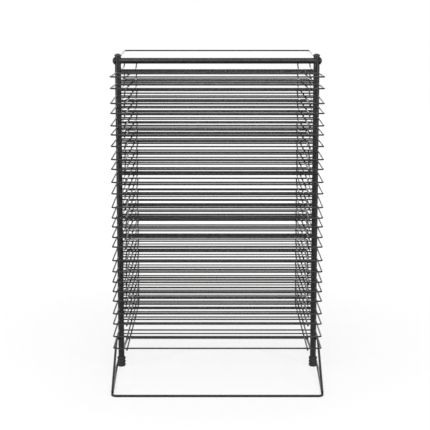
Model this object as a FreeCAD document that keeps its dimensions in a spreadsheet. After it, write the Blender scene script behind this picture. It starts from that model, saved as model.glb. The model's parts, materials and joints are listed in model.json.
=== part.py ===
"""Tabletop art drying rack: twenty-five tilting wire shelves hung between two tube posts.

Frame: +Z up, +X to the right as seen from the loading side, -Y towards the person who loads it.
The origin is on the floor, midway between the posts.  Millimetres and degrees throughout.

Each shelf is a welded wire tray on one through-going axle wire.  The axle ends sit in drilled holes
in the inner walls of the posts, so every shelf tilts about its own axle until it meets its neighbour.
The posts stand in ribbed rubber foot sleeves on a floor loop of round rod, and a bent brace on
each side ties the post to the front and rear corners of that loop.  Bent wires and rods are drawn
with flat-sided sections whose corners lie on the real diameter.
"""
import FreeCAD, Part
import math
import os

import Sketcher
from FreeCAD import Placement, Rotation, Vector

X_AXIS = Vector(1, 0, 0)
Z_AXIS = Vector(0, 0, 1)

# Driving dimensions: the alias of each cell, its value, and what it sizes.
DIMENSIONS = (
    ("tier_count", 25, "shelves between the posts"),
    ("tier_pitch", 22.0, "height from one shelf axle to the next"),
    ("lowest_axle", 92.0, "height of the lowest shelf axle above the floor"),
    ("post_spacing", 404.0, "centre to centre of the two posts"),
    ("post_outside", 12.7, "outside diameter of the post tube"),
    ("post_wall", 1.2, "wall of the post tube"),
    ("post_above_bar", 10.0, "post tube standing above the top bar's centre line"),
    ("bar_above_axle", 22.0, "top bar's centre line above the highest shelf axle"),
    ("bar_outside", 12.0, "outside diameter of the top bar tube"),
    ("bar_wall", 1.0, "wall of the top bar tube"),
    ("tray_depth", 360.0, "outside depth of a shelf, front to rear"),
    ("frame_wire", 3.0, "diameter of the shelf's loop, rail and axle wires"),
    ("cross_wire", 2.5, "diameter of the light cross wires"),
    ("inner_run", 50.0, "distance of each loop's inner run from the axle"),
    ("cross_reach", 75.0, "distance of each light cross wire from the axle"),
    ("rail_inset", 26.0, "shelf rail's centre line in from the loop's side run"),
    ("lip_rise", 12.0, "rise of the rear lip"),
    ("lip_run", 27.0, "depth of the rear lip's slope"),
    ("axle_clearance", 0.1, "radial clearance of an axle in its post hole"),
    ("axle_insertion", 4.5, "length of axle inside each post, from the tube's outside"),
    ("wire_sides", 8, "flats round a shelf wire's section, whose corners lie on its diameter"),
    ("rod_sides", 12, "flats round a bent rod's section, whose corners lie on its diameter"),
    ("weld_gap", 0.05, "clearance drawn between wires that are welded together"),
    ("foot_rod", 5.0, "diameter of the floor loop and brace rods"),
    ("loop_width", 409.0, "floor loop's width between rod centres at its corners"),
    ("loop_depth", 397.0, "floor loop's depth between rod centres"),
    ("loop_bend", 9.0, "centre line radius of the floor loop's corners"),
    ("post_contact", 16.0, "half length of loop rod that runs straight past a post"),
    ("brace_height", 60.0, "height of the brace rod's crown at the post"),
    ("brace_crown", 14.0, "half length of the brace's crown"),
    ("brace_bend", 22.0, "centre line radius of the brace's bends"),
    ("brace_setback", 8.0, "brace end in from the loop corner's centre line"),
    ("sleeve_outside", 18.0, "outside diameter of the foot sleeve over its ribs"),
    ("sleeve_neck", 15.6, "outside diameter of the foot sleeve between its ribs"),
    ("sleeve_height", 21.0, "height of the foot sleeve"),
    ("rib_count", 3, "rounded ribs up the foot sleeve"),
    ("rib_length", 4.4, "height of a rib"),
    ("rib_root", 2.0, "how far a rib's slopes run on into the sleeve's neck"),
    ("sleeve_floor", 2.0, "rubber under the end of the post"),
    ("notch_drop", 1.0, "how far the sleeve's notch is cut past the floor"),
    ("notch_bite", 0.3, "how far the sleeve's notch reaches in past the post's side"),
    ("sleeve_clearance", 0.05, "radial clearance of the post and rod in the sleeve"),
    ("cap_outside", 14.6, "diameter of the post cap's head"),
    ("cap_edge", 1.6, "height of the post cap's straight edge"),
    ("cap_crown", 3.2, "height of the post cap's domed crown"),
    ("cap_stem", 5.0, "length of the cap's stem inside the post"),
    ("stem_clearance", 0.1, "radial clearance of plugs and stems in their tubes"),
    ("screw_shank", 5.0, "diameter of the bar screw's shank"),
    ("screw_clearance", 0.2, "radial clearance of the screw in the post"),
    ("screw_head", 15.0, "diameter of the bar screw's domed head"),
    ("screw_edge", 1.0, "height of the screw head's straight edge"),
    ("screw_dome", 3.8, "height of the screw head's domed crown"),
    ("screw_bite", 13.5, "length of the bar screw past the post's inner side"),
    ("insert_length", 18.0, "length of the threaded insert in each end of the bar"),
    ("insert_setback", 2.0, "insert's outer end in from the post's inner side"),
    ("guard_wire", 3.0, "diameter of the top guard wire"),
    ("guard_reach", 178.0, "rear run of the top guard behind the posts"),
    ("guard_above_bar", 4.0, "height of the guard's ends above the top bar's centre line"),
    ("guard_rise", 10.0, "rise of the top guard from the posts to its rear run"),
    ("guard_bend", 7.0, "centre line radius of the top guard's corners"),
    ("guard_level_run", 18.0, "guard wire that runs level behind each post"),
    ("guard_sweep_bend", 40.0, "centre line radius where the guard starts to rise"),
)

# Resting tilt of each shelf about its axle, from the lowest up.  Positive lifts the front edge.
RESTING_TILT = (
    0.0, 0.5, 1.5, 1.0, 2.0, 1.0, 0.0, -0.5, -0.5, 1.0, 0.0, -0.5, -2.0,
    -2.5, -1.0, -1.0, 0.0, -1.0, 0.0, 0.0, -1.5, -1.0, -2.0, 0.0, 0.0,
)


doc = FreeCAD.newDocument("drying_rack")
sheet = doc.addObject("Spreadsheet::Sheet", "Dimensions")
for row, (alias, value, meaning) in enumerate(DIMENSIONS, start=1):
    sheet.set(f"A{row}", alias)
    sheet.set(f"B{row}", str(value))
    sheet.set(f"C{row}", meaning)
    sheet.setAlias(f"B{row}", alias)
doc.recompute()


def size(alias):
    """The number in the named cell."""
    return float(sheet.get(alias))


def in_cells(text):
    """An expression with each <alias> written as its cell."""
    return text.replace("<", "Dimensions.").replace(">", "")


def bind(thing, **expressions):
    """Bind properties of an object to the sheet, such as Radius="<frame_wire> / 2"."""
    for path, text in expressions.items():
        thing.setExpression(path, in_cells(text))


# Heights and offsets that several pieces share, as expressions on the cells.
HIGHEST_AXLE = "(<lowest_axle> + (<tier_count> - 1) * <tier_pitch>)"
BAR_HEIGHT = f"({HIGHEST_AXLE} + <bar_above_axle>)"
POST_LENGTH = f"({BAR_HEIGHT} + <post_above_bar> - <sleeve_floor>)"

bar_height = (
    size("lowest_axle") + (size("tier_count") - 1) * size("tier_pitch") + size("bar_above_axle")
)
half_spacing = size("post_spacing") / 2
rod_beside_post = (
    half_spacing + size("post_outside") / 2 + size("foot_rod") / 2 + size("weld_gap")
)


# ---------------------------------------------------------------- primitives


def cylinder(name, radius, height, at="", axis=Z_AXIS):
    """A Part cylinder whose radius and height are expressions; it starts at `at` along `axis`."""
    rod = doc.addObject("Part::Cylinder", name)
    bind(rod, Radius=radius, Height=height)
    rod.Placement = Placement(Vector(), Rotation(Z_AXIS, axis))
    place(rod, at)
    return rod


def value_of(thing, text):
    """The number that an expression comes to."""
    return float(thing.evalExpression(in_cells(text)))


def place(thing, at):
    """Bind an object's position: `at` is up to three expressions, x, y and z, split by commas."""
    for letter, text in zip("xyz", at.split(",")):
        if text.strip():
            thing.setExpression(f"Placement.Base.{letter}", in_cells(text.strip()))


def fused(name, pieces):
    """Several overlapping shapes of one piece, joined."""
    whole = doc.addObject("Part::MultiFuse", name)
    whole.Shapes = pieces
    return whole


def cut(name, base, tool):
    """The base with the tool taken away."""
    rest = doc.addObject("Part::Cut", name)
    rest.Base = base
    rest.Tool = tool
    return rest


def group(name, pieces):
    """Separate solids that make up one node."""
    together = doc.addObject("Part::Compound", name)
    together.Links = pieces
    return together


def domed_disc(name, width, edge, crown):
    """A disc with a straight edge and a spherical crown, standing on Z = 0."""
    ball = doc.addObject("Part::Sphere", f"{name}_ball")
    ball_radius = f"(({width} / 2) ^ 2 + {crown} ^ 2) / (2 * {crown})"
    bind(ball, Radius=ball_radius)
    place(ball, f"0, 0, {edge} + {crown} - {ball_radius}")
    blank = cylinder(f"{name}_blank", f"{width} / 2", f"{edge} + {crown}")
    disc = doc.addObject("Part::Common", name)
    disc.Base = ball
    disc.Tool = blank
    return disc


def corner_arc(before, corner, after, radius):
    """The tangent arc that rounds a corner, as its first, middle and last points."""
    to_before = (before - corner).normalize()
    to_after = (after - corner).normalize()
    half_angle = to_before.getAngle(to_after) / 2
    bisector = (to_before + to_after).normalize()
    reach = radius / math.tan(half_angle)
    centre = corner + bisector * (radius / math.sin(half_angle))
    return corner + to_before * reach, centre - bisector * radius, corner + to_after * reach


def centre_line(points, bends, closed):
    """Straight runs through the points, with a tangent arc at each corner that has a bend radius."""
    count = len(points)
    edges = []
    last = points[0]
    for index in range(1, count + 1 if closed else count):
        corner = points[index % count]
        is_end = index == count or (not closed and index == count - 1)
        bend = 0.0 if is_end else bends[index]
        if bend > 0:
            start, middle, end = corner_arc(last, corner, points[(index + 1) % count], bend)
            edges.append(Part.LineSegment(last, start).toShape())
            edges.append(Part.Arc(start, middle, end).toShape())
            last = end
        else:
            edges.append(Part.LineSegment(last, corner).toShape())
            last = corner
    return Part.Wire(edges)


def bent_wire(name, diameter, sides, points, bends=None, closed=False):
    """A wire or rod along a bent centre line; its section is bound to the named cells."""
    bends = bends or [0.0] * len(points)
    spine = doc.addObject("Part::Feature", f"{name}_line")
    spine.Shape = centre_line(points, bends, closed)
    section = doc.addObject("Part::RegularPolygon", f"{name}_section")
    bind(section, Circumradius=f"<{diameter}> / 2", Polygon=f"<{sides}>")
    section.Placement = Placement(points[0], Rotation(Z_AXIS, points[1] - points[0]))
    wire = doc.addObject("Part::Sweep", name)
    wire.Sections = [section]
    wire.Spine = (spine, [f"Edge{number + 1}" for number in range(len(spine.Shape.Edges))])
    wire.Solid = True
    wire.Frenet = False
    wire.Transition = "Right corner"
    return wire


# ---------------------------------------------------------------- posts


def sketch_on(body, name, role):
    """A sketch in the body on its own origin plane of this role, such as XY_Plane."""
    sketch = body.newObject("Sketcher::SketchObject", name)
    plane = next(item for item in body.Origin.OriginFeatures if item.Role == role)
    sketch.AttachmentSupport = [(plane, "")]
    sketch.MapMode = "FlatFace"
    return sketch


def sketch_circle(sketch, radius, height=None, construction=False):
    """A circle on the sketch's vertical axis, its radius and height bound to the cells."""
    start = value_of(sketch, height) if height else 0.0
    circle = Part.Circle(Vector(0, start, 0), Z_AXIS, value_of(sketch, radius))
    index = sketch.addGeometry(circle, construction)
    if height:
        sketch.addConstraint(Sketcher.Constraint("PointOnObject", index, 3, -2))
        level = sketch.addConstraint(Sketcher.Constraint("DistanceY", -1, 1, index, 3, start))
        sketch.setExpression(f"Constraints[{level}]", in_cells(height))
    else:
        sketch.addConstraint(Sketcher.Constraint("Coincident", index, 3, -1, 1))
    across = sketch.addConstraint(Sketcher.Constraint("Radius", index, circle.Radius))
    sketch.setExpression(f"Constraints[{across}]", in_cells(radius))


def sketch_flats(sketch, radius, height, sides):
    """A regular polygon about a construction circle on the sketch's vertical axis."""
    sketch_circle(sketch, radius, height, construction=True)
    centre = Vector(0, value_of(sketch, height), 0)
    corner = Vector(0, value_of(sketch, radius), 0)
    step = 360 / sides
    corners = [
        centre + Rotation(Z_AXIS, -(number + 0.5) * step).multVec(corner)
        for number in range(sides)
    ]
    first = sketch.addGeometry(
        [Part.LineSegment(corners[number - 1], corners[number]) for number in range(sides)], False
    )[0]
    for number in range(sides):
        line, following = first + number, first + (number + 1) % sides
        sketch.addConstraint(Sketcher.Constraint("Coincident", line, 2, following, 1))
        sketch.addConstraint(Sketcher.Constraint("PointOnObject", line, 2, 0))
        if number:
            sketch.addConstraint(Sketcher.Constraint("Equal", first, line))
    sketch.addConstraint(Sketcher.Constraint("Horizontal", first))


def drilled(body, name, role, radius, height, both_walls=False, reverse=False, sides=0):
    """A hole square to an origin plane, through one wall of the tube or through both."""
    sketch = sketch_on(body, f"{name}_sketch", role)
    if sides:
        sketch_flats(sketch, radius, height, sides)
    else:
        sketch_circle(sketch, radius, height)
    hole = body.newObject("PartDesign::Pocket", name)
    hole.Profile = sketch
    hole.Reversed = reverse
    hole.Midplane = both_walls
    hole.setExpression("Length", in_cells("<post_outside> * 2" if both_walls else "<post_outside>"))
    return hole


def make_post(name, side):
    """A tube post, drilled for the shelf axles, the top guard and the bar screw."""
    body = doc.addObject("PartDesign::Body", name)
    ring = sketch_on(body, f"{name}_ring", "XY_Plane")
    sketch_circle(ring, "<post_outside> / 2")
    sketch_circle(ring, "<post_outside> / 2 - <post_wall>")
    tube = body.newObject("PartDesign::Pad", f"{name}_tube")
    tube.Profile = ring
    tube.setExpression("Length", in_cells(POST_LENGTH))
    doc.recompute()

    drilled(body, f"{name}_screw_hole", "YZ_Plane", "<screw_shank> / 2 + <screw_clearance>",
            f"{BAR_HEIGHT} - <sleeve_floor>", both_walls=True)
    drilled(body, f"{name}_guard_hole", "XZ_Plane", "<guard_wire> / 2 + <axle_clearance>",
            f"{BAR_HEIGHT} + <guard_above_bar> - <sleeve_floor>")
    lowest = drilled(body, f"{name}_axle_hole", "YZ_Plane",
                     "(<frame_wire> / 2 + <axle_clearance>) / cos(180 deg / <wire_sides>)",
                     "<lowest_axle> - <sleeve_floor>", reverse=side < 0,
                     sides=int(size("wire_sides")))
    doc.recompute()

    tiers = body.newObject("PartDesign::LinearPattern", f"{name}_axle_holes")
    tiers.Originals = [lowest]
    upright = next(item for item in body.Origin.OriginFeatures if item.Role == "Z_Axis")
    tiers.Direction = (upright, [""])
    tiers.setExpression("Length", in_cells("(<tier_count> - 1) * <tier_pitch>"))
    tiers.setExpression("Occurrences", in_cells("<tier_count>"))
    body.Tip = tiers
    place(body, f"{side} * <post_spacing> / 2, 0, <sleeve_floor>")
    return body


def make_post_cap(name, side):
    """A plastic plug with a domed head, pushed into the top of a post."""
    head = domed_disc(f"{name}_head", "<cap_outside>", "<cap_edge>", "<cap_crown>")
    stem = cylinder(f"{name}_stem", "<post_outside> / 2 - <post_wall> - <stem_clearance>",
                    "<cap_stem> + <cap_edge>", "0, 0, -<cap_stem>")
    cap = fused(name, [head, stem])
    place(cap, f"{side} * <post_spacing> / 2, 0, {BAR_HEIGHT} + <post_above_bar>")
    return cap


def make_foot_sleeve(name, side):
    """A ribbed rubber sleeve under a post, notched where the floor loop's rod passes."""
    neck = cylinder(f"{name}_neck", "<sleeve_neck> / 2", "<sleeve_height>")
    ribs = []
    for number in range(int(size("rib_count"))):
        middle = f"({number} + 0.5) * <sleeve_height> / <rib_count>"
        for word, wide, narrow, start in (("lower", "Radius2", "Radius1", "- <rib_length> / 2"),
                                          ("upper", "Radius1", "Radius2", "")):
            slope = doc.addObject("Part::Cone", f"{name}_rib_{number + 1}_{word}")
            bind(slope, Height="<rib_length> / 2",
                 **{wide: "<sleeve_outside> / 2", narrow: "<sleeve_neck> / 2 - <rib_root>"})
            place(slope, f"0, 0, {middle} {start}")
            ribs.append(slope)
    outside = fused(f"{name}_outside", [neck] + ribs)
    socket = cylinder(f"{name}_socket", "<post_outside> / 2 + <sleeve_clearance>",
                      "<sleeve_height>", "0, 0, <sleeve_floor>")
    notch = doc.addObject("Part::Box", f"{name}_notch")
    bind(notch, Length="<sleeve_outside>", Width="<sleeve_outside> * 2",
         Height="<foot_rod> + 2 * <sleeve_clearance> + <notch_drop>")
    inner_face = "(<post_outside> / 2 - <notch_bite>)"
    place(notch, f"{inner_face if side > 0 else f'-{inner_face} - <sleeve_outside>'}, "
                 "-<sleeve_outside>, -<notch_drop>")
    sleeve = cut(name, outside, fused(f"{name}_hollows", [socket, notch]))
    place(sleeve, f"{side} * <post_spacing> / 2, 0, 0")
    return sleeve


# ---------------------------------------------------------------- top bar and guard


def make_top_bar():
    """A tube between the posts, its ends coped to sit against their round sides."""
    length = "<post_spacing>"
    outside = cylinder("top_bar_outside", "<bar_outside> / 2", length,
                       "-<post_spacing> / 2, 0, 0", X_AXIS)
    bore = cylinder("top_bar_bore", "<bar_outside> / 2 - <bar_wall>", length,
                    "-<post_spacing> / 2, 0, 0", X_AXIS)
    copes = [
        cylinder(f"top_bar_{word}_cope", "<post_outside> / 2 + <weld_gap>", "<bar_outside> * 2",
                 f"{side} * <post_spacing> / 2, 0, -<bar_outside>")
        for word, side in (("left", -1), ("right", 1))
    ]
    bar = cut("top_bar", outside, fused("top_bar_hollows", [bore] + copes))
    place(bar, f"0, 0, {BAR_HEIGHT}")
    return bar


def make_bar_inserts():
    """A threaded insert pressed into each end of the top bar, which the bar screw bites into."""
    inserts = []
    outer_end = "(<post_spacing> / 2 - <post_outside> / 2 - <insert_setback>)"
    for word, side in (("left", -1), ("right", 1)):
        start = f"{side} * {outer_end}, 0, 0"
        inward = X_AXIS * -side
        plug = cylinder(f"{word}_insert_plug", "<bar_outside> / 2 - <bar_wall> - <weld_gap>",
                        "<insert_length>", start, inward)
        bore = cylinder(f"{word}_insert_bore", "<screw_shank> / 2 + <weld_gap>",
                        "<insert_length>", start, inward)
        inserts.append(cut(f"{word}_insert", plug, bore))
    node = group("bar_inserts", inserts)
    place(node, f"0, 0, {BAR_HEIGHT}")
    return node


def make_bar_screws():
    """Domed screws, one through each post into the insert in the end of the top bar."""
    screws = []
    for word, side in (("left", -1), ("right", 1)):
        outward = X_AXIS * side
        seat = f"{side} * (<post_spacing> / 2 + <post_outside> / 2 + <weld_gap>)"
        head = domed_disc(f"{word}_screw_head", "<screw_head>", "<screw_edge>", "<screw_dome>")
        head.Placement = Placement(Vector(), Rotation(Z_AXIS, outward))
        place(head, f"{seat}, 0, 0")
        shank = cylinder(f"{word}_screw_shank", "<screw_shank> / 2",
                         "<post_outside> + <screw_bite> + <screw_edge>",
                         f"{seat} + {side} * <screw_edge>, 0, 0", outward * -1)
        screws.append(fused(f"{word}_screw", [head, shank]))
    node = group("bar_screws", screws)
    place(node, f"0, 0, {BAR_HEIGHT}")
    return node


def make_top_guard():
    """A bent wire behind the posts that carries the rear of whatever lies on the top bar."""
    start = size("post_outside") / 2 - size("post_wall")
    level_end = size("post_outside") / 2 + size("guard_level_run")
    rear = size("guard_reach")
    level = bar_height + size("guard_above_bar")
    raised = level + size("guard_rise")
    points = [
        Vector(-half_spacing, start, level),
        Vector(-half_spacing, level_end, level),
        Vector(-half_spacing, rear, raised),
        Vector(half_spacing, rear, raised),
        Vector(half_spacing, level_end, level),
        Vector(half_spacing, start, level),
    ]
    sweep_bend, corner_bend = size("guard_sweep_bend"), size("guard_bend")
    bends = [0, sweep_bend, corner_bend, corner_bend, sweep_bend, 0]
    return bent_wire("top_guard", "guard_wire", "rod_sides", points, bends)


# ---------------------------------------------------------------- base


def make_floor_loop():
    """One rod bent into a loop on the floor; its sides pass outside the posts and touch them."""
    rest = size("foot_rod") / 2
    corner_x, corner_y = size("loop_width") / 2, size("loop_depth") / 2
    contact = size("post_contact")
    points = [
        Vector(0, -corner_y, rest),
        Vector(corner_x, -corner_y, rest),
        Vector(rod_beside_post, -contact, rest),
        Vector(rod_beside_post, contact, rest),
        Vector(corner_x, corner_y, rest),
        Vector(-corner_x, corner_y, rest),
        Vector(-rod_beside_post, contact, rest),
        Vector(-rod_beside_post, -contact, rest),
        Vector(-corner_x, -corner_y, rest),
    ]
    corner = size("loop_bend")
    bends = [0, corner, 0, 0, corner, corner, 0, 0, corner]
    return bent_wire("floor_loop", "foot_rod", "rod_sides", points, bends, closed=True)


def make_brace(name, side):
    """A rod from the loop's front corner over the outside of the post to the rear corner."""
    foot_x = side * size("loop_width") / 2
    foot_y = size("loop_depth") / 2 - size("brace_setback")
    foot_z = 1.5 * size("foot_rod") + size("weld_gap")
    crown_x = side * rod_beside_post
    crown, height = size("brace_crown"), size("brace_height")
    points = [
        Vector(foot_x, -foot_y, foot_z),
        Vector(crown_x, -crown, height),
        Vector(crown_x, crown, height),
        Vector(foot_x, foot_y, foot_z),
    ]
    bend = size("brace_bend")
    return bent_wire(name, "foot_rod", "rod_sides", points, [0, bend, bend, 0])


# ---------------------------------------------------------------- shelves


def make_tray():
    """The welded wires of one shelf, about its axle at the origin: the pattern for every tier."""
    wire, gap = size("frame_wire"), size("weld_gap")
    edge = size("tray_depth") / 2 - wire / 2
    inner = size("inner_run")
    lip_start, rise = edge - size("lip_run"), size("lip_rise")
    front_loop = bent_wire("tray_front_loop", "frame_wire", "wire_sides", [
        Vector(0, -edge, 0),
        Vector(half_spacing, -edge, 0),
        Vector(half_spacing, -inner, 0),
        Vector(-half_spacing, -inner, 0),
        Vector(-half_spacing, -edge, 0),
    ], closed=True)
    rear_loop = bent_wire("tray_rear_loop", "frame_wire", "wire_sides", [
        Vector(0, inner, 0),
        Vector(-half_spacing, inner, 0),
        Vector(-half_spacing, lip_start, 0),
        Vector(-half_spacing, edge, rise),
        Vector(half_spacing, edge, rise),
        Vector(half_spacing, lip_start, 0),
        Vector(half_spacing, inner, 0),
    ], closed=True)
    axle_length = "(<post_spacing> - <post_outside> + 2 * <axle_insertion>)"
    axle = cylinder("tray_axle", "<frame_wire> / 2", axle_length,
                    f"-{axle_length} / 2, 0, 0", X_AXIS)
    under = -(wire + gap)
    rails = []
    for word, side in (("left", -1), ("right", 1)):
        rail_x = side * (half_spacing - size("rail_inset"))
        rails.append(bent_wire(f"tray_{word}_rail", "frame_wire", "wire_sides", [
            Vector(rail_x, -edge - wire / 2, under),
            Vector(rail_x, lip_start, under),
            Vector(rail_x, edge, under + rise),
        ]))
    cross_length = "(<post_spacing> - <frame_wire> - 2 * <weld_gap>)"
    cross_wires = []
    for word, side in (("front", -1), ("rear", 1)):
        cross_wire = doc.addObject("Part::Prism", f"tray_{word}_cross_wire")
        bind(cross_wire, Circumradius="<cross_wire> / 2", Height=cross_length,
             Polygon="<wire_sides>")
        cross_wire.Placement = Placement(Vector(), Rotation(Z_AXIS, X_AXIS))
        place(cross_wire, f"-{cross_length} / 2, {side} * <cross_reach>, "
                          "<cross_wire> / 2 - <frame_wire> / 2")
        cross_wires.append(cross_wire)
    return group("tray", [front_loop, rear_loop, axle] + rails + cross_wires)


def make_shelf(number, tilt, tray):
    """One shelf: the tray on its own axle, resting at its own tilt."""
    shelf = group(f"shelf_{number:02d}", [tray])
    shelf.Placement = Placement(Vector(), Rotation(X_AXIS, -tilt))
    place(shelf, f"0, 0, <lowest_axle> + {number - 1} * <tier_pitch>")
    return shelf


# ---------------------------------------------------------------- the rack


def make_rack():
    """Every piece that becomes a node."""
    pieces = []
    for word, side in (("left", -1), ("right", 1)):
        pieces.append(make_post(f"{word}_post", side))
        pieces.append(make_post_cap(f"{word}_post_cap", side))
        pieces.append(make_foot_sleeve(f"{word}_foot_sleeve", side))
        pieces.append(make_brace(f"{word}_brace", side))
    pieces += [make_floor_loop(), make_top_bar(), make_bar_inserts(), make_bar_screws()]
    pieces.append(make_top_guard())
    tray = make_tray()
    for number in range(1, int(size("tier_count")) + 1):
        tilt = RESTING_TILT[(number - 1) % len(RESTING_TILT)]
        pieces.append(make_shelf(number, tilt, tray))
    return pieces


def check(pieces):
    """Stop if any feature failed or any piece is not a sound shape."""
    for item in doc.Objects:
        if "Invalid" in item.State or "Error" in item.State:
            raise RuntimeError(f"{item.Name}: {item.State}")
    for piece in pieces:
        shape = piece.Shape
        if shape.isNull() or not shape.isValid() or not shape.Solids:
            raise RuntimeError(f"{piece.Label} has no valid solid")


rack = make_rack()
doc.recompute()
check(rack)
os.makedirs("parts", exist_ok=True)
for piece in rack:
    piece.Shape.exportStep(os.path.join("parts", f"{piece.Label}.step"))
    box = piece.Shape.BoundBox
    print(f"{piece.Label}: {len(piece.Shape.Solids)} solids, {piece.Shape.Volume:.0f} mm3, "
          f"z {box.ZMin:.2f} to {box.ZMax:.2f}")
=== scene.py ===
"""Studio view of a tabletop art drying rack: tilting wire shelves between two tube posts.

Everything is in metres in the rack's own frame: +Z up, +X to the right, -Y towards the
loading side.  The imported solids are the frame.  The posts, their caps, the top bar and its
inserts keep their solids and get a finish.  The bent wires and rods, the foot sleeves and
the bar screws are modelled here with their real bends, weld beads and ribs, from the
places and sizes that the solids give.
"""
import json
import math

import bmesh
import bpy
from mathutils import Matrix, Vector


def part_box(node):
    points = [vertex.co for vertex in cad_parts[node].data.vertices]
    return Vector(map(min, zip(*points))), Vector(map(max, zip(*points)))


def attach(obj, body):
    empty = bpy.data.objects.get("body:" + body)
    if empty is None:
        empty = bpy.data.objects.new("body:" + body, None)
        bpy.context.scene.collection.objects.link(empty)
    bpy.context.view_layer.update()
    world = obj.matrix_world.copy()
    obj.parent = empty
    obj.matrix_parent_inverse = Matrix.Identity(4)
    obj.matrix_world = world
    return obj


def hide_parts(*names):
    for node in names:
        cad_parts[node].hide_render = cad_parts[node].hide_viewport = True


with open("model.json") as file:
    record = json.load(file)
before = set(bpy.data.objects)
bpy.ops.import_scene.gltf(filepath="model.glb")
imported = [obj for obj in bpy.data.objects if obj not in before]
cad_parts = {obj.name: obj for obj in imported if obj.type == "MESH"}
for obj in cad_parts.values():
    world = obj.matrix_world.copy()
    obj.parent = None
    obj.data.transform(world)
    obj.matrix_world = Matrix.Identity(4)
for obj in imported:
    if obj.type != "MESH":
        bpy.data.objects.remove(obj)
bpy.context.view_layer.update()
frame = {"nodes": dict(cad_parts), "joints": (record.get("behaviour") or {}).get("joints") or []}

MM = 0.001
SIDES = (("left", -1), ("right", 1))
SHELF_NAMES = sorted(name for name in frame["nodes"] if name.startswith("shelf_"))
AXLE_PLACE = {
    joint["child"]: Vector(joint["pos_m"])
    for joint in frame["joints"]
    if joint["type"] == "hinge"
}


# ---------------------------------------------------------------- camera

CAMERA_PLACE = Vector((-3.9 * MM, -2349 * MM, 751.5 * MM))
CAMERA_PITCH = math.radians(8.19)
# Focal length and sensor width in millimetres.
CAMERA_LENS = 96.36
CAMERA_SENSOR = 36.0
CAMERA_SHIFT = (-0.0008, -0.1)
CAMERA_CLIP = (0.05, 50.0)


def make_camera():
    """A long lens a little above the rack, pitched down at it."""
    data = bpy.data.cameras.new("camera")
    data.lens = CAMERA_LENS
    data.sensor_width = CAMERA_SENSOR
    data.shift_x, data.shift_y = CAMERA_SHIFT
    data.clip_start, data.clip_end = CAMERA_CLIP
    camera = bpy.data.objects.new("camera", data)
    camera.location = CAMERA_PLACE
    camera.rotation_euler = (math.pi / 2 - CAMERA_PITCH, 0.0, 0.0)
    bpy.context.scene.collection.objects.link(camera)
    bpy.context.scene.camera = camera


# ---------------------------------------------------------------- finishes

# The span of a noise's values that is stretched over a gloss or over a tone.
GLOSS_SPAN = (0.3, 0.7)
TONE_SPAN = (0.35, 0.65)
# The powder coat's noises, as scale and detail, and the detail and roughness of its peel.
COAT_TONE_NOISE = (60.0, 3.0)
COAT_GLOSS_NOISE = (140.0, 2.0)
PEEL_GRAIN = (2.0, 0.6)
PEEL_STRENGTH = 0.12
COAT_SPECULAR = 0.2
# Weight and roughness of the clear gloss over it.
COAT_LACQUER = (0.2, 0.16)


def new_material(name):
    """An empty node material, its tree and its principled shader."""
    material = bpy.data.materials.new(name)
    material.use_nodes = True
    tree = material.node_tree
    return material, tree, tree.nodes["Principled BSDF"]


def noise(tree, scale, detail, roughness=0.5):
    """A noise in the piece's own coordinates; scale is in features per metre."""
    coordinates = tree.nodes.new("ShaderNodeTexCoord")
    texture = tree.nodes.new("ShaderNodeTexNoise")
    texture.inputs["Scale"].default_value = scale
    texture.inputs["Detail"].default_value = detail
    texture.inputs["Roughness"].default_value = roughness
    tree.links.new(coordinates.outputs["Object"], texture.inputs["Vector"])
    return texture.outputs["Fac"]


def map_range(tree, value, from_span, to_span):
    """A value carried over from one span to another."""
    node = tree.nodes.new("ShaderNodeMapRange")
    for word, span in (("From", from_span), ("To", to_span)):
        for end, number in zip(("Min", "Max"), span):
            node.inputs[f"{word} {end}"].default_value = number
    tree.links.new(value, node.inputs["Value"])
    return node.outputs["Result"]


def tint(tree, value, tones):
    """A colour that drifts between two tones as a noise value does."""
    ramp = tree.nodes.new("ShaderNodeValToRGB")
    for stop, position, tone in zip(ramp.color_ramp.elements, TONE_SPAN, tones):
        stop.position = position
        stop.color = (*tone, 1.0)
    tree.links.new(value, ramp.inputs["Fac"])
    return ramp.outputs["Color"]


def bump(tree, shader, height, depth, strength):
    """Relief of a given depth in metres on the shader."""
    node = tree.nodes.new("ShaderNodeBump")
    node.inputs["Strength"].default_value = strength
    node.inputs["Distance"].default_value = depth
    tree.links.new(height, node.inputs["Height"])
    tree.links.new(node.outputs["Normal"], shader.inputs["Normal"])


def make_finish(
    name,
    tones,
    tone_noise,
    gloss,
    gloss_noise,
    relief,
    relief_noise,
    specular,
    lacquer=None,
):
    """A finish with an uneven tone, a cloudy gloss and a fine relief.

    A noise is its scale, its detail and, if it isn't a half, its roughness.  Relief is its
    depth and strength, and lacquer its weight and roughness.
    """
    material, tree, shader = new_material(name)
    tone = tint(tree, noise(tree, *tone_noise), tones)
    tree.links.new(tone, shader.inputs["Base Color"])
    roughness = map_range(tree, noise(tree, *gloss_noise), GLOSS_SPAN, gloss)
    tree.links.new(roughness, shader.inputs["Roughness"])
    shader.inputs["Specular IOR Level"].default_value = specular
    if lacquer:
        shader.inputs["Coat Weight"].default_value = lacquer[0]
        shader.inputs["Coat Roughness"].default_value = lacquer[1]
    bump(tree, shader, noise(tree, *relief_noise), *relief)
    return material


def powder_coat(name, tones, gloss, peel_scale, peel_depth):
    """Baked black powder: a faint orange peel under a thin clear gloss."""
    return make_finish(
        name,
        tones=tones,
        tone_noise=COAT_TONE_NOISE,
        gloss=gloss,
        gloss_noise=COAT_GLOSS_NOISE,
        relief=(peel_depth, PEEL_STRENGTH),
        relief_noise=(peel_scale, *PEEL_GRAIN),
        specular=COAT_SPECULAR,
        lacquer=COAT_LACQUER,
    )


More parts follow.
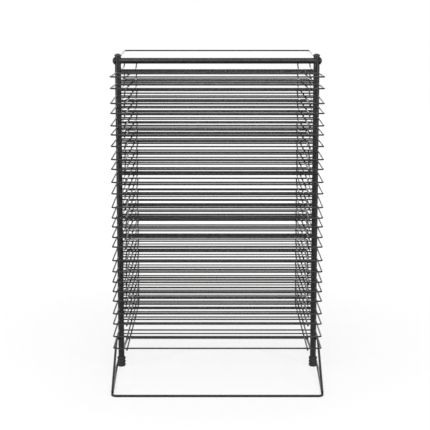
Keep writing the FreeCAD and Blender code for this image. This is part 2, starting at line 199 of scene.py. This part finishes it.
TUBE_COAT = powder_coat(
    "tube_powder_coat",
    tones=((0.008, 0.008, 0.0085), (0.014, 0.014, 0.0145)),
    gloss=(0.26, 0.38),
    peel_scale=1100.0,
    peel_depth=0.05 * MM,
)
WIRE_COAT = powder_coat(
    "wire_powder_coat",
    tones=((0.008, 0.008, 0.0085), (0.015, 0.015, 0.0155)),
    gloss=(0.28, 0.42),
    peel_scale=1700.0,
    peel_depth=0.03 * MM,
)
SCREW_COAT = powder_coat(
    "screw_black_oxide",
    tones=((0.015, 0.015, 0.016), (0.028, 0.027, 0.026)),
    gloss=(0.3, 0.45),
    peel_scale=2400.0,
    peel_depth=0.02 * MM,
)
# Satin black moulding with a fine spark texture.
CAP_PLASTIC = make_finish(
    "cap_plastic",
    tones=((0.016, 0.016, 0.017), (0.024, 0.024, 0.025)),
    tone_noise=(300.0, 2.0),
    gloss=(0.42, 0.56),
    gloss_noise=(700.0, 2.0),
    relief=(0.06 * MM, 0.5),
    relief_noise=(2600.0, 1.0),
    specular=0.45,
)
# Dull black rubber, unevenly dusty.
RUBBER = make_finish(
    "sleeve_rubber",
    tones=((0.014, 0.014, 0.014), (0.03, 0.03, 0.031)),
    tone_noise=(220.0, 4.0),
    gloss=(0.6, 0.8),
    gloss_noise=(500.0, 3.0),
    relief=(0.08 * MM, 0.6),
    relief_noise=(1800.0, 3.0, 0.7),
    specular=0.35,
)


def dress(node_name, material):
    """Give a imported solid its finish."""
    for slot in frame["nodes"][node_name].material_slots:
        slot.material = material


# ---------------------------------------------------------------- bent wires

WIRE_FLATS = 14
ROD_FLATS = 20
# Steps round a shelf wire's bend, and round the wider bends of the frame's rods.
WIRE_BEND_STEPS = 6
ROD_BEND_STEPS = 8
# Corners nearer to each other than this are joined, in any piece and in a turned one.
PIECE_MERGE = 0.002 * MM
TURNED_MERGE = 0.005 * MM
# Edges that turn by more than this, in degrees, stay sharp.
SMOOTH_ANGLE = 50.0


def lay_ring(bm, centre, direction, radius, flats):
    """The edges of an open circle square to a direction, in the same order each run."""
    turn = Vector((0, 0, 1)).rotation_difference(direction).to_matrix().to_4x4()
    made = bmesh.ops.create_circle(
        bm,
        cap_ends=False,
        segments=flats,
        radius=radius,
        matrix=Matrix.Translation(centre) @ turn,
    )
    return list(dict.fromkeys(edge for vert in made["verts"] for edge in vert.link_edges))


def draw_out(bm, edges, travel):
    """Extrude a ring along a straight run; returns the new ring."""
    made = bmesh.ops.extrude_edge_only(bm, edges=edges)["geom"]
    verts = [item for item in made if isinstance(item, bmesh.types.BMVert)]
    bmesh.ops.translate(bm, vec=travel, verts=verts)
    reached = set(verts)
    return [
        item
        for item in made
        if isinstance(item, bmesh.types.BMEdge) and set(item.verts) <= reached
    ]


def turn_ring(bm, edges, centre, axis, angle, steps):
    """Spin a ring round a bend; returns the new ring."""
    made = bmesh.ops.spin(
        bm, geom=edges, cent=centre, axis=axis, dvec=(0, 0, 0), angle=angle, steps=steps
    )
    return [item for item in made["geom_last"] if isinstance(item, bmesh.types.BMEdge)]


def bend_wire(bm, points, bends, radius, flats, closed=False, steps=WIRE_BEND_STEPS):
    """Add a round wire along straight runs, rounded at each point by a tangent arc.

    The bends are the arcs' radii.  There is no arc at the first point or at an open wire's
    last one.  A closed wire starts and ends at its first point, on a straight run.
    """
    count = len(points)
    place = points[0]
    heading = (points[1] - points[0]).normalized()
    ring = lay_ring(bm, place, heading, radius, flats)
    first = ring
    last = count if closed else count - 1
    for index in range(1, last):
        corner = points[index]
        onward = (points[(index + 1) % count] - corner).normalized()
        angle = heading.angle(onward)
        reach = bends[index] * math.tan(angle / 2)
        arc_start = corner - heading * reach
        ring = draw_out(bm, ring, arc_start - place)
        axis = heading.cross(onward).normalized()
        centre = arc_start + axis.cross(heading) * bends[index]
        ring = turn_ring(bm, ring, centre, axis, angle, steps)
        place = corner + onward * reach
        heading = onward
    ring = draw_out(bm, ring, points[last % count] - place)
    if not closed:
        for end in (first, ring):
            bmesh.ops.edgeloop_fill(bm, edges=end)


def turn_profile(bm, profile, steps):
    """Turn a profile of radii and heights about +Z; returns the edges left open."""
    verts = [bm.verts.new((radius, 0, height)) for radius, height in profile]
    edges = [bm.edges.new(pair) for pair in zip(verts, verts[1:])]
    bmesh.ops.spin(
        bm,
        geom=verts + edges,
        cent=(0, 0, 0),
        axis=(0, 0, 1),
        dvec=(0, 0, 0),
        angle=2 * math.pi,
        steps=steps,
        use_merge=True,
    )
    bmesh.ops.remove_doubles(bm, verts=bm.verts, dist=TURNED_MERGE)
    return [edge for edge in bm.edges if edge.is_boundary]


def weld_bead(bm, place, half_widths, subdivisions=2):
    """A small squashed bead of weld."""
    shape = Matrix.Translation(place) @ Matrix.Diagonal((*half_widths, 1.0))
    bmesh.ops.create_icosphere(bm, subdivisions=subdivisions, radius=1.0, matrix=shape)


def settle_order(elements, place):
    """Put vertices or faces in the order of their places, which is the same each run."""
    in_order = sorted(elements, key=lambda element: tuple(place(element)))
    rank = {element: number for number, element in enumerate(in_order)}
    elements.sort(key=rank.get)


def finish_mesh(bm, name, material, body, smooth_angle=SMOOTH_ANGLE):
    """Turn a bmesh into a shaded piece that rides on a body."""
    bmesh.ops.remove_doubles(bm, verts=bm.verts, dist=PIECE_MERGE)
    bmesh.ops.recalc_face_normals(bm, faces=bm.faces)
    settle_order(bm.verts, lambda vert: vert.co)
    settle_order(bm.faces, lambda face: face.calc_center_median())
    limit = math.radians(smooth_angle)
    for face in bm.faces:
        face.smooth = True
    for edge in bm.edges:
        edge.smooth = len(edge.link_faces) == 2 and edge.calc_face_angle(0.0) < limit
    mesh = bpy.data.meshes.new(name)
    bm.to_mesh(mesh)
    bm.free()
    mesh.materials.append(material)
    piece = bpy.data.objects.new(name, mesh)
    bpy.context.scene.collection.objects.link(piece)
    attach(piece, body)
    return piece


# ---------------------------------------------------------------- shelves

WIRE_RADIUS = 1.5 * MM
CROSS_RADIUS = 1.25 * MM
# The solids leave this gap where two wires are welded.
WELD_GAP = 0.05 * MM
# Distances along Y from the axle: each loop's inner run, and each light cross wire.
INNER_RUN = 50 * MM
CROSS_REACH = 75 * MM
# Distances inside the loops' sides: the rails, and the axle's ends.
RAIL_INSET = 26 * MM
AXLE_INSET = 1.85 * MM
# The sloping run that lifts the rear edge.
LIP_RUN = 27 * MM
TRAY_BEND = 4.5 * MM
LIP_BEND = 6 * MM
RAIL_BEND = 7 * MM

# Half widths of the weld beads, and where they sit.
RAIL_BEAD = (1.1 * MM, 1.2 * MM, 0.75 * MM)
RAIL_BEAD_STAGGER = (0.9 * MM, 0.5 * MM)
LIP_BEAD = (1.3 * MM, 1.1 * MM, 0.8 * MM)
LIP_BEAD_SETBACK = 0.4 * MM
CROSS_BEAD = (1.0 * MM, 1.5 * MM, 1.2 * MM)
CROSS_BEAD_INSET = 1.3 * MM
CROSS_BEAD_DROP = 0.1 * MM

# The part of a shelf's solids, behind its front edge and inside its right side, that is
# measured for its tilt.
CORNER_DEPTH = 2.2 * WIRE_RADIUS
CORNER_WIDTH = 3 * MM


def tray_sizes():
    """A shelf's half width, front reach, rear reach and lip rise.

    They are measured on the lowest shelf, which is level.
    """
    low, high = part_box(SHELF_NAMES[0])
    axle = AXLE_PLACE[SHELF_NAMES[0]]
    half = high.x - WIRE_RADIUS
    front = -(low.y - axle.y) - WIRE_RADIUS
    rear = high.y - axle.y - WIRE_RADIUS
    rise = high.z - axle.z - WIRE_RADIUS
    return half, front, rear, rise


def resting_tilt(name):
    """How far a shelf's front edge is lifted at rest, from its own front corner."""
    axle = AXLE_PLACE[name]
    low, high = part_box(name)
    corner = [
        vert.co
        for vert in frame["nodes"][name].data.vertices
        if vert.co.y < low.y + CORNER_DEPTH and vert.co.x > high.x - CORNER_WIDTH
    ]
    height = sum(co.z for co in corner) / len(corner) - axle.z
    reach = axle.y - sum(co.y for co in corner) / len(corner)
    return math.atan2(height, reach)


def straight_wire(bm, reach, y, z, radius):
    """A shelf wire along X, as far to the left as to the right."""
    ends = [Vector((-reach, y, z)), Vector((reach, y, z))]
    bend_wire(bm, ends, [0, 0], radius, WIRE_FLATS)


def tray_wires(bm):
    """One level shelf about its axle: loops, axle, rails, cross wires and weld beads."""
    half, front, rear, rise = tray_sizes()
    lip = rear - LIP_RUN
    front_loop = [
        Vector((0, -front, 0)),
        Vector((half, -front, 0)),
        Vector((half, -INNER_RUN, 0)),
        Vector((-half, -INNER_RUN, 0)),
        Vector((-half, -front, 0)),
    ]
    bends = [0, TRAY_BEND, TRAY_BEND, TRAY_BEND, TRAY_BEND]
    bend_wire(bm, front_loop, bends, WIRE_RADIUS, WIRE_FLATS, closed=True)
    rear_loop = [
        Vector((0, INNER_RUN, 0)),
        Vector((-half, INNER_RUN, 0)),
        Vector((-half, lip, 0)),
        Vector((-half, rear, rise)),
        Vector((half, rear, rise)),
        Vector((half, lip, 0)),
        Vector((half, INNER_RUN, 0)),
    ]
    bends = [0, TRAY_BEND, LIP_BEND, TRAY_BEND, TRAY_BEND, LIP_BEND, TRAY_BEND]
    bend_wire(bm, rear_loop, bends, WIRE_RADIUS, WIRE_FLATS, closed=True)
    straight_wire(bm, half - AXLE_INSET, 0, 0, WIRE_RADIUS)

    under = -2 * WIRE_RADIUS - WELD_GAP
    cross_end = half - WIRE_RADIUS - WELD_GAP
    step_x, step_y = RAIL_BEAD_STAGGER
    for side in (-1, 1):
        rail_x = side * (half - RAIL_INSET)
        rail = [
            Vector((rail_x, -front - WIRE_RADIUS, under)),
            Vector((rail_x, lip, under)),
            Vector((rail_x, rear, under + rise)),
        ]
        bend_wire(bm, rail, [0, RAIL_BEND, 0], WIRE_RADIUS, WIRE_FLATS)
        cross_y = side * CROSS_REACH
        straight_wire(bm, cross_end, cross_y, CROSS_RADIUS - WIRE_RADIUS, CROSS_RADIUS)
        for y in (-front, -CROSS_REACH, -INNER_RUN, 0.0, INNER_RUN, CROSS_REACH):
            for lean in (-1, 1):
                place = Vector((rail_x + lean * step_x, y + lean * step_y, under / 2))
                weld_bead(bm, place, RAIL_BEAD, subdivisions=1)
        lip_place = Vector((rail_x, rear - LIP_BEAD_SETBACK, rise + under / 2))
        weld_bead(bm, lip_place, LIP_BEAD)
        for end in (-1, 1):
            end_x = end * (half - CROSS_BEAD_INSET)
            weld_bead(bm, Vector((end_x, cross_y, -CROSS_BEAD_DROP)), CROSS_BEAD)


def make_shelves():
    """Every shelf is the same tray, turned to its own rest on its own axle."""
    pattern = bmesh.new()
    tray_wires(pattern)
    for name in SHELF_NAMES:
        bm = pattern.copy()
        turn = Matrix.Rotation(-resting_tilt(name), 4, "X")
        bmesh.ops.transform(
            bm, matrix=Matrix.Translation(AXLE_PLACE[name]) @ turn, verts=bm.verts
        )
        tray = finish_mesh(bm, f"{name}_wires", WIRE_COAT, name)
        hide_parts(name)
    pattern.free()


# ---------------------------------------------------------------- top guard and base

POST_RADIUS = 6.35 * MM
ROD_RADIUS = 2.5 * MM
GUARD_RADIUS = 1.5 * MM
# The guard's level run behind a post, and the bends at its foot and at its rear corners.
GUARD_LEVEL_RUN = 18 * MM
GUARD_SWEEP = 40 * MM
GUARD_BEND = 7 * MM
LOOP_BEND = 9 * MM
LOOP_CORNER_X = 204.5 * MM
# The loop's bends where it turns to pass a post, and half of its straight run there.
SWAY_BEND = 60 * MM
POST_CONTACT = 16 * MM
BRACE_BEND = 22 * MM
# Half of a brace's level run over the post, and its feet's distance from the corners.
BRACE_CROWN = 14 * MM
BRACE_SETBACK = 8 * MM

# Half widths of the weld beads, and where they sit.
GUARD_BEAD = (2.3 * MM, 1.0 * MM, 2.3 * MM)
GUARD_BEAD_OFFSET = 0.2 * MM
LOOP_BEAD = (2.2 * MM, 2.75 * MM, 2.45 * MM)
LOOP_BEAD_X = 31 * MM
LOOP_BEAD_INSET = 0.3 * MM
BRACE_FOOT_BEAD = (2.3 * MM, 4.6 * MM, 1.6 * MM)
BRACE_FOOT_BEAD_SETBACK = 1 * MM
BRACE_POST_BEAD = (0.9 * MM, 2.6 * MM, 1.9 * MM)
BRACE_POST_BEAD_Y = 5 * MM


def make_guard():
    """The bent wire behind the posts."""
    low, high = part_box("top_guard")
    x = high.x - GUARD_RADIUS
    level = low.z + GUARD_RADIUS
    rear_y = high.y - GUARD_RADIUS
    rear_z = high.z - GUARD_RADIUS
    turn_y = POST_RADIUS + GUARD_LEVEL_RUN
    points = [
        Vector((-x, low.y, level)),
        Vector((-x, turn_y, level)),
        Vector((-x, rear_y, rear_z)),
        Vector((x, rear_y, rear_z)),
        Vector((x, turn_y, level)),
        Vector((x, low.y, level)),
    ]
    bends = [0, GUARD_SWEEP, GUARD_BEND, GUARD_BEND, GUARD_SWEEP, 0]
    bm = bmesh.new()
    bend_wire(bm, points, bends, GUARD_RADIUS, WIRE_FLATS, steps=ROD_BEND_STEPS)
    for side in (-1, 1):
        place = Vector((side * x, POST_RADIUS + GUARD_BEAD_OFFSET, level))
        weld_bead(bm, place, GUARD_BEAD)
    guard = finish_mesh(bm, "top_guard_wire", WIRE_COAT, "frame")
    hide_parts("top_guard")


def loop_corner():
    """The floor loop's right rear corner, and its rod's place along X beside a post."""
    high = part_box("floor_loop")[1]
    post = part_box("right_post")[1].x
    beside = post + WELD_GAP + ROD_RADIUS
    return Vector((LOOP_CORNER_X, high.y - ROD_RADIUS, ROD_RADIUS)), beside


def make_floor_loop():
    """The closed rod that lies on the floor."""
    corner, beside = loop_corner()
    z = corner.z
    points = [
        Vector((0, -corner.y, z)),
        Vector((corner.x, -corner.y, z)),
        Vector((beside, -POST_CONTACT, z)),
        Vector((beside, POST_CONTACT, z)),
        Vector((corner.x, corner.y, z)),
        Vector((-corner.x, corner.y, z)),
        Vector((-beside, POST_CONTACT, z)),
        Vector((-beside, -POST_CONTACT, z)),
        Vector((-corner.x, -corner.y, z)),
    ]
    side_bends = [LOOP_BEND, SWAY_BEND, SWAY_BEND, LOOP_BEND]
    bm = bmesh.new()
    bend_wire(
        bm,
        points,
        [0, *side_bends, *side_bends],
        ROD_RADIUS,
        ROD_FLATS,
        closed=True,
        steps=ROD_BEND_STEPS,
    )
    weld_bead(bm, Vector((LOOP_BEAD_X, corner.y - LOOP_BEAD_INSET, z)), LOOP_BEAD)
    loop = finish_mesh(bm, "floor_loop_rod", TUBE_COAT, "frame")
    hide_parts("floor_loop")


def make_brace(name, side):
    """The rod from the loop's front corner to its rear corner, over a post's outer side."""
    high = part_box(name)[1]
    corner, beside = loop_corner()
    foot_y = corner.y - BRACE_SETBACK
    foot_z = 3 * ROD_RADIUS + WELD_GAP
    crown_z = high.z - ROD_RADIUS
    points = [
        Vector((side * corner.x, -foot_y, foot_z)),
        Vector((side * beside, -BRACE_CROWN, crown_z)),
        Vector((side * beside, BRACE_CROWN, crown_z)),
        Vector((side * corner.x, foot_y, foot_z)),
    ]
    bends = [0, BRACE_BEND, BRACE_BEND, 0]
    bm = bmesh.new()
    bend_wire(bm, points, bends, ROD_RADIUS, ROD_FLATS, steps=ROD_BEND_STEPS)
    for end in (-1, 1):
        bead_y = end * (foot_y - BRACE_FOOT_BEAD_SETBACK)
        foot_place = Vector((side * corner.x, bead_y, 2 * ROD_RADIUS))
        weld_bead(bm, foot_place, BRACE_FOOT_BEAD)
        post_x = side * (beside - ROD_RADIUS)
        post_place = Vector((post_x, end * BRACE_POST_BEAD_Y, crown_z))
        weld_bead(bm, post_place, BRACE_POST_BEAD)
    brace = finish_mesh(bm, f"{name}_rod", TUBE_COAT, "frame")
    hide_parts(name)


# ---------------------------------------------------------------- foot sleeves

SLEEVE_RIBS = 3
SAMPLES_PER_RIB = 12
SLEEVE_STEPS = 48
RIB_DEPTH = 1.25 * MM
# How far the sleeve's ends are drawn in below its grooves, and how high that edge is.
END_INSET = 0.6 * MM
END_HEIGHT = 0.5 * MM
BORE_CLEARANCE = 0.1 * MM
BORE_DEPTH = 6 * MM
ROD_CLEARANCE = 0.05 * MM


def sleeve_profile(outside, height):
    """Radii and heights from the underside's middle, over the ribs and into the bore."""
    end = outside - RIB_DEPTH - END_INSET
    bore = POST_RADIUS + BORE_CLEARANCE
    samples = SAMPLES_PER_RIB * SLEEVE_RIBS
    profile = [(0.0, 0.0), (end, 0.0)]
    for index in range(samples + 1):
        share = index / samples
        swell = math.sin(math.pi * share * SLEEVE_RIBS) ** 2
        radius = outside - RIB_DEPTH * (1 - swell)
        profile.append((radius, END_HEIGHT + share * (height - 2 * END_HEIGHT)))
    profile += [(end, height), (bore, height), (bore, height - BORE_DEPTH)]
    return profile


def make_sleeve(name, side):
    """A ribbed rubber sleeve, turned, then flattened where the floor rod passes."""
    low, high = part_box(name)
    bm = bmesh.new()
    profile = sleeve_profile((high.y - low.y) / 2, high.z - low.z)
    bore_edges = turn_profile(bm, profile, SLEEVE_STEPS)
    bmesh.ops.edgeloop_fill(bm, edges=bore_edges)
    flat = POST_RADIUS - ROD_CLEARANCE
    rod_top = 2 * ROD_RADIUS + ROD_CLEARANCE
    for vert in bm.verts:
        if vert.co.z < rod_top and side * vert.co.x > flat:
            vert.co.x = side * flat
    centre = Vector(((low.x + high.x) / 2, (low.y + high.y) / 2, 0))
    bmesh.ops.translate(bm, vec=centre, verts=bm.verts)
    sleeve = finish_mesh(bm, f"{name}_rubber", RUBBER, "frame")
    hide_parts(name)


# ---------------------------------------------------------------- bar screws

SCREW_STEPS = 36
SCREW_SMOOTH_ANGLE = 35.0
# Height of the head's straight edge under its dome.
SCREW_EDGE = 1.0 * MM
DOME_SAMPLES = 9
SOCKET_ACROSS = 4.0 * MM
SOCKET_DEPTH = 2.0 * MM
# Width outside the socket's corners and height of the slope that leads into it.
SOCKET_MARGIN = 0.25 * MM
SOCKET_SLOPE = 0.15 * MM


def hexagon_reach(angle, across):
    """The distance from a hexagon's middle to its side in a direction."""
    sector = math.pi / 3
    return across / 2 / math.cos((angle % sector) - sector / 2)


def make_screw_head(bm, seat, side, radius, dome):
    """A domed head with a hexagon socket, standing outward from its seat."""
    ball = (radius ** 2 + dome ** 2) / (2 * dome)
    rim_radius = SOCKET_ACROSS / 2 / math.cos(math.pi / 6) + SOCKET_MARGIN
    profile = [(0.0, 0.0), (radius, 0.0), (radius, SCREW_EDGE)]
    for index in range(1, DOME_SAMPLES + 1):
        r = radius + (rim_radius - radius) * index / DOME_SAMPLES
        profile.append((r, SCREW_EDGE + math.sqrt(ball ** 2 - r ** 2) - (ball - dome)))
    top = profile[-1][1]
    rim = [
        edge
        for edge in turn_profile(bm, profile, SCREW_STEPS)
        if min(vert.co.z for vert in edge.verts) > SCREW_EDGE
    ]
    rim = draw_out(bm, rim, Vector((0, 0, -SOCKET_SLOPE)))
    for vert in dict.fromkeys(vert for edge in rim for vert in edge.verts):
        angle = math.atan2(vert.co.y, vert.co.x)
        reach = hexagon_reach(angle, SOCKET_ACROSS)
        vert.co = (reach * math.cos(angle), reach * math.sin(angle), top - SOCKET_SLOPE)
    rim = draw_out(bm, rim, Vector((0, 0, -SOCKET_DEPTH)))
    bmesh.ops.edgeloop_fill(bm, edges=rim)
    turn = Matrix.Rotation(side * math.pi / 2, 4, "Y")
    bmesh.ops.transform(bm, matrix=Matrix.Translation(seat) @ turn, verts=bm.verts)


def make_screws():
    """Both bar screw heads; their shanks are hidden in the posts and the bar."""
    low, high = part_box("bar_screws")
    seat_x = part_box("right_post")[1].x + WELD_GAP
    radius = (high.z - low.z) / 2
    dome = high.x - seat_x - SCREW_EDGE
    for word, side in SIDES:
        bm = bmesh.new()
        seat = Vector((side * seat_x, 0, (low.z + high.z) / 2))
        make_screw_head(bm, seat, side, radius, dome)
        head = finish_mesh(
            bm,
            f"{word}_bar_screw_head",
            SCREW_COAT,
            "frame",
            SCREW_SMOOTH_ANGLE,
        )
        if side < 0:
            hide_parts("bar_screws")


# ---------------------------------------------------------------- studio

WHITE = (1.0, 1.0, 1.0, 1.0)
FLOOR_SIZE = 12.0
FLOOR_DROP = 0.2 * MM
FLOOR_COLOUR = (0.9, 0.9, 0.9, 1.0)
FLOOR_ROUGHNESS = 0.9
FLOOR_GLOW = 1.12
# Two distances from the rack's middle, and the glow's share of the floor at each.
FLOOR_DISTANCES = (0.3, 1.5)
FLOOR_SHARES = (0.72, 0.97)
# The surround's light on the rack, and what is seen of it.
SURROUND_LEVELS = (0.06, 1.0)
LIGHT_AIM = Vector((0.0, 0.0, 0.33))
# Name, place, width, height and power in watts.
SOFTBOXES = (
    ("key_softbox", (-2.1, -1.5, 0.9), 0.25, 1.8, 24.0),
    ("fill_softbox", (1.8, -1.8, 1.0), 0.25, 1.8, 17.0),
    ("front_softbox", (0.0, -2.5, 2.0), 2.4, 0.7, 56.0),
    ("top_softbox", (0.0, 0.5, 2.3), 1.6, 1.0, 6.0),
    ("rear_softbox", (0.4, 2.2, 1.2), 1.2, 1.2, 12.0),
)


def math_node(tree, operation, one, other):
    """One value and another put together."""
    node = tree.nodes.new("ShaderNodeMath")
    node.operation = operation
    tree.links.new(one, node.inputs[0])
    tree.links.new(other, node.inputs[1])
    return node.outputs[0]


def seen_ray(tree):
    """One for rays from the camera and for those that a gloss or a clear piece sends on."""
    path = tree.nodes.new("ShaderNodeLightPath")
    seen = path.outputs["Is Camera Ray"]
    for kind in ("Is Glossy Ray", "Is Transmission Ray"):
        seen = math_node(tree, "MAXIMUM", seen, path.outputs[kind])
    return seen


def floor_white():
    """Matt, lifted to white where it is seen, with its shadows kept near the rack."""
    material, tree, shader = new_material("floor_white")
    shader.inputs["Base Color"].default_value = FLOOR_COLOUR
    shader.inputs["Roughness"].default_value = FLOOR_ROUGHNESS
    shader.inputs["Specular IOR Level"].default_value = 0.0
    glow = tree.nodes.new("ShaderNodeEmission")
    glow.inputs["Color"].default_value = WHITE
    glow.inputs["Strength"].default_value = FLOOR_GLOW
    place = tree.nodes.new("ShaderNodeTexCoord")
    distance = tree.nodes.new("ShaderNodeVectorMath")
    distance.operation = "LENGTH"
    tree.links.new(place.outputs["Object"], distance.inputs[0])
    share = map_range(tree, distance.outputs["Value"], FLOOR_DISTANCES, FLOOR_SHARES)
    blend = tree.nodes.new("ShaderNodeMixShader")
    amount = math_node(tree, "MULTIPLY", seen_ray(tree), share)
    tree.links.new(amount, blend.inputs["Fac"])
    tree.links.new(shader.outputs["BSDF"], blend.inputs[1])
    tree.links.new(glow.outputs["Emission"], blend.inputs[2])
    output = tree.nodes["Material Output"]
    tree.links.new(blend.outputs["Shader"], output.inputs["Surface"])
    return material


def make_floor():
    """A wide pale floor under the rack."""
    bm = bmesh.new()
    bmesh.ops.create_grid(bm, x_segments=1, y_segments=1, size=FLOOR_SIZE / 2)
    mesh = bpy.data.meshes.new("floor")
    bm.to_mesh(mesh)
    bm.free()
    mesh.materials.append(floor_white())
    floor = bpy.data.objects.new("floor", mesh)
    floor.location.z = -FLOOR_DROP
    bpy.context.scene.collection.objects.link(floor)


def make_world():
    """A soft even surround, white to the camera and to reflections."""
    world = bpy.data.worlds.new("studio")
    bpy.context.scene.world = world
    world.use_nodes = True
    tree = world.node_tree
    background = tree.nodes["Background"]
    background.inputs["Color"].default_value = WHITE
    level = map_range(tree, seen_ray(tree), (0.0, 1.0), SURROUND_LEVELS)
    tree.links.new(level, background.inputs["Strength"])


def add_softbox(name, place, width, height, power):
    """A rectangular area light that points at the rack."""
    data = bpy.data.lights.new(name, "AREA")
    data.shape = "RECTANGLE"
    data.size, data.size_y = width, height
    data.energy = power
    light = bpy.data.objects.new(name, data)
    light.location = place
    light.rotation_euler = (LIGHT_AIM - Vector(place)).to_track_quat("-Z", "Y").to_euler()
    bpy.context.scene.collection.objects.link(light)


def make_lights():
    """Soft boxes that draw narrow highlights down the tubes and along the wires."""
    for softbox in SOFTBOXES:
        add_softbox(*softbox)


# ---------------------------------------------------------------- everything

make_camera()
make_world()
make_floor()
make_lights()

for node_name in ("left_post", "right_post", "top_bar"):
    dress(node_name, TUBE_COAT)
for node_name in ("left_post_cap", "right_post_cap", "bar_inserts"):
    dress(node_name, CAP_PLASTIC)

make_shelves()
make_guard()
make_floor_loop()
for word, side in SIDES:
    make_brace(f"{word}_brace", side)
    make_sleeve(f"{word}_foot_sleeve", side)
make_screws()

bpy.context.scene.view_settings.view_transform = "Standard"
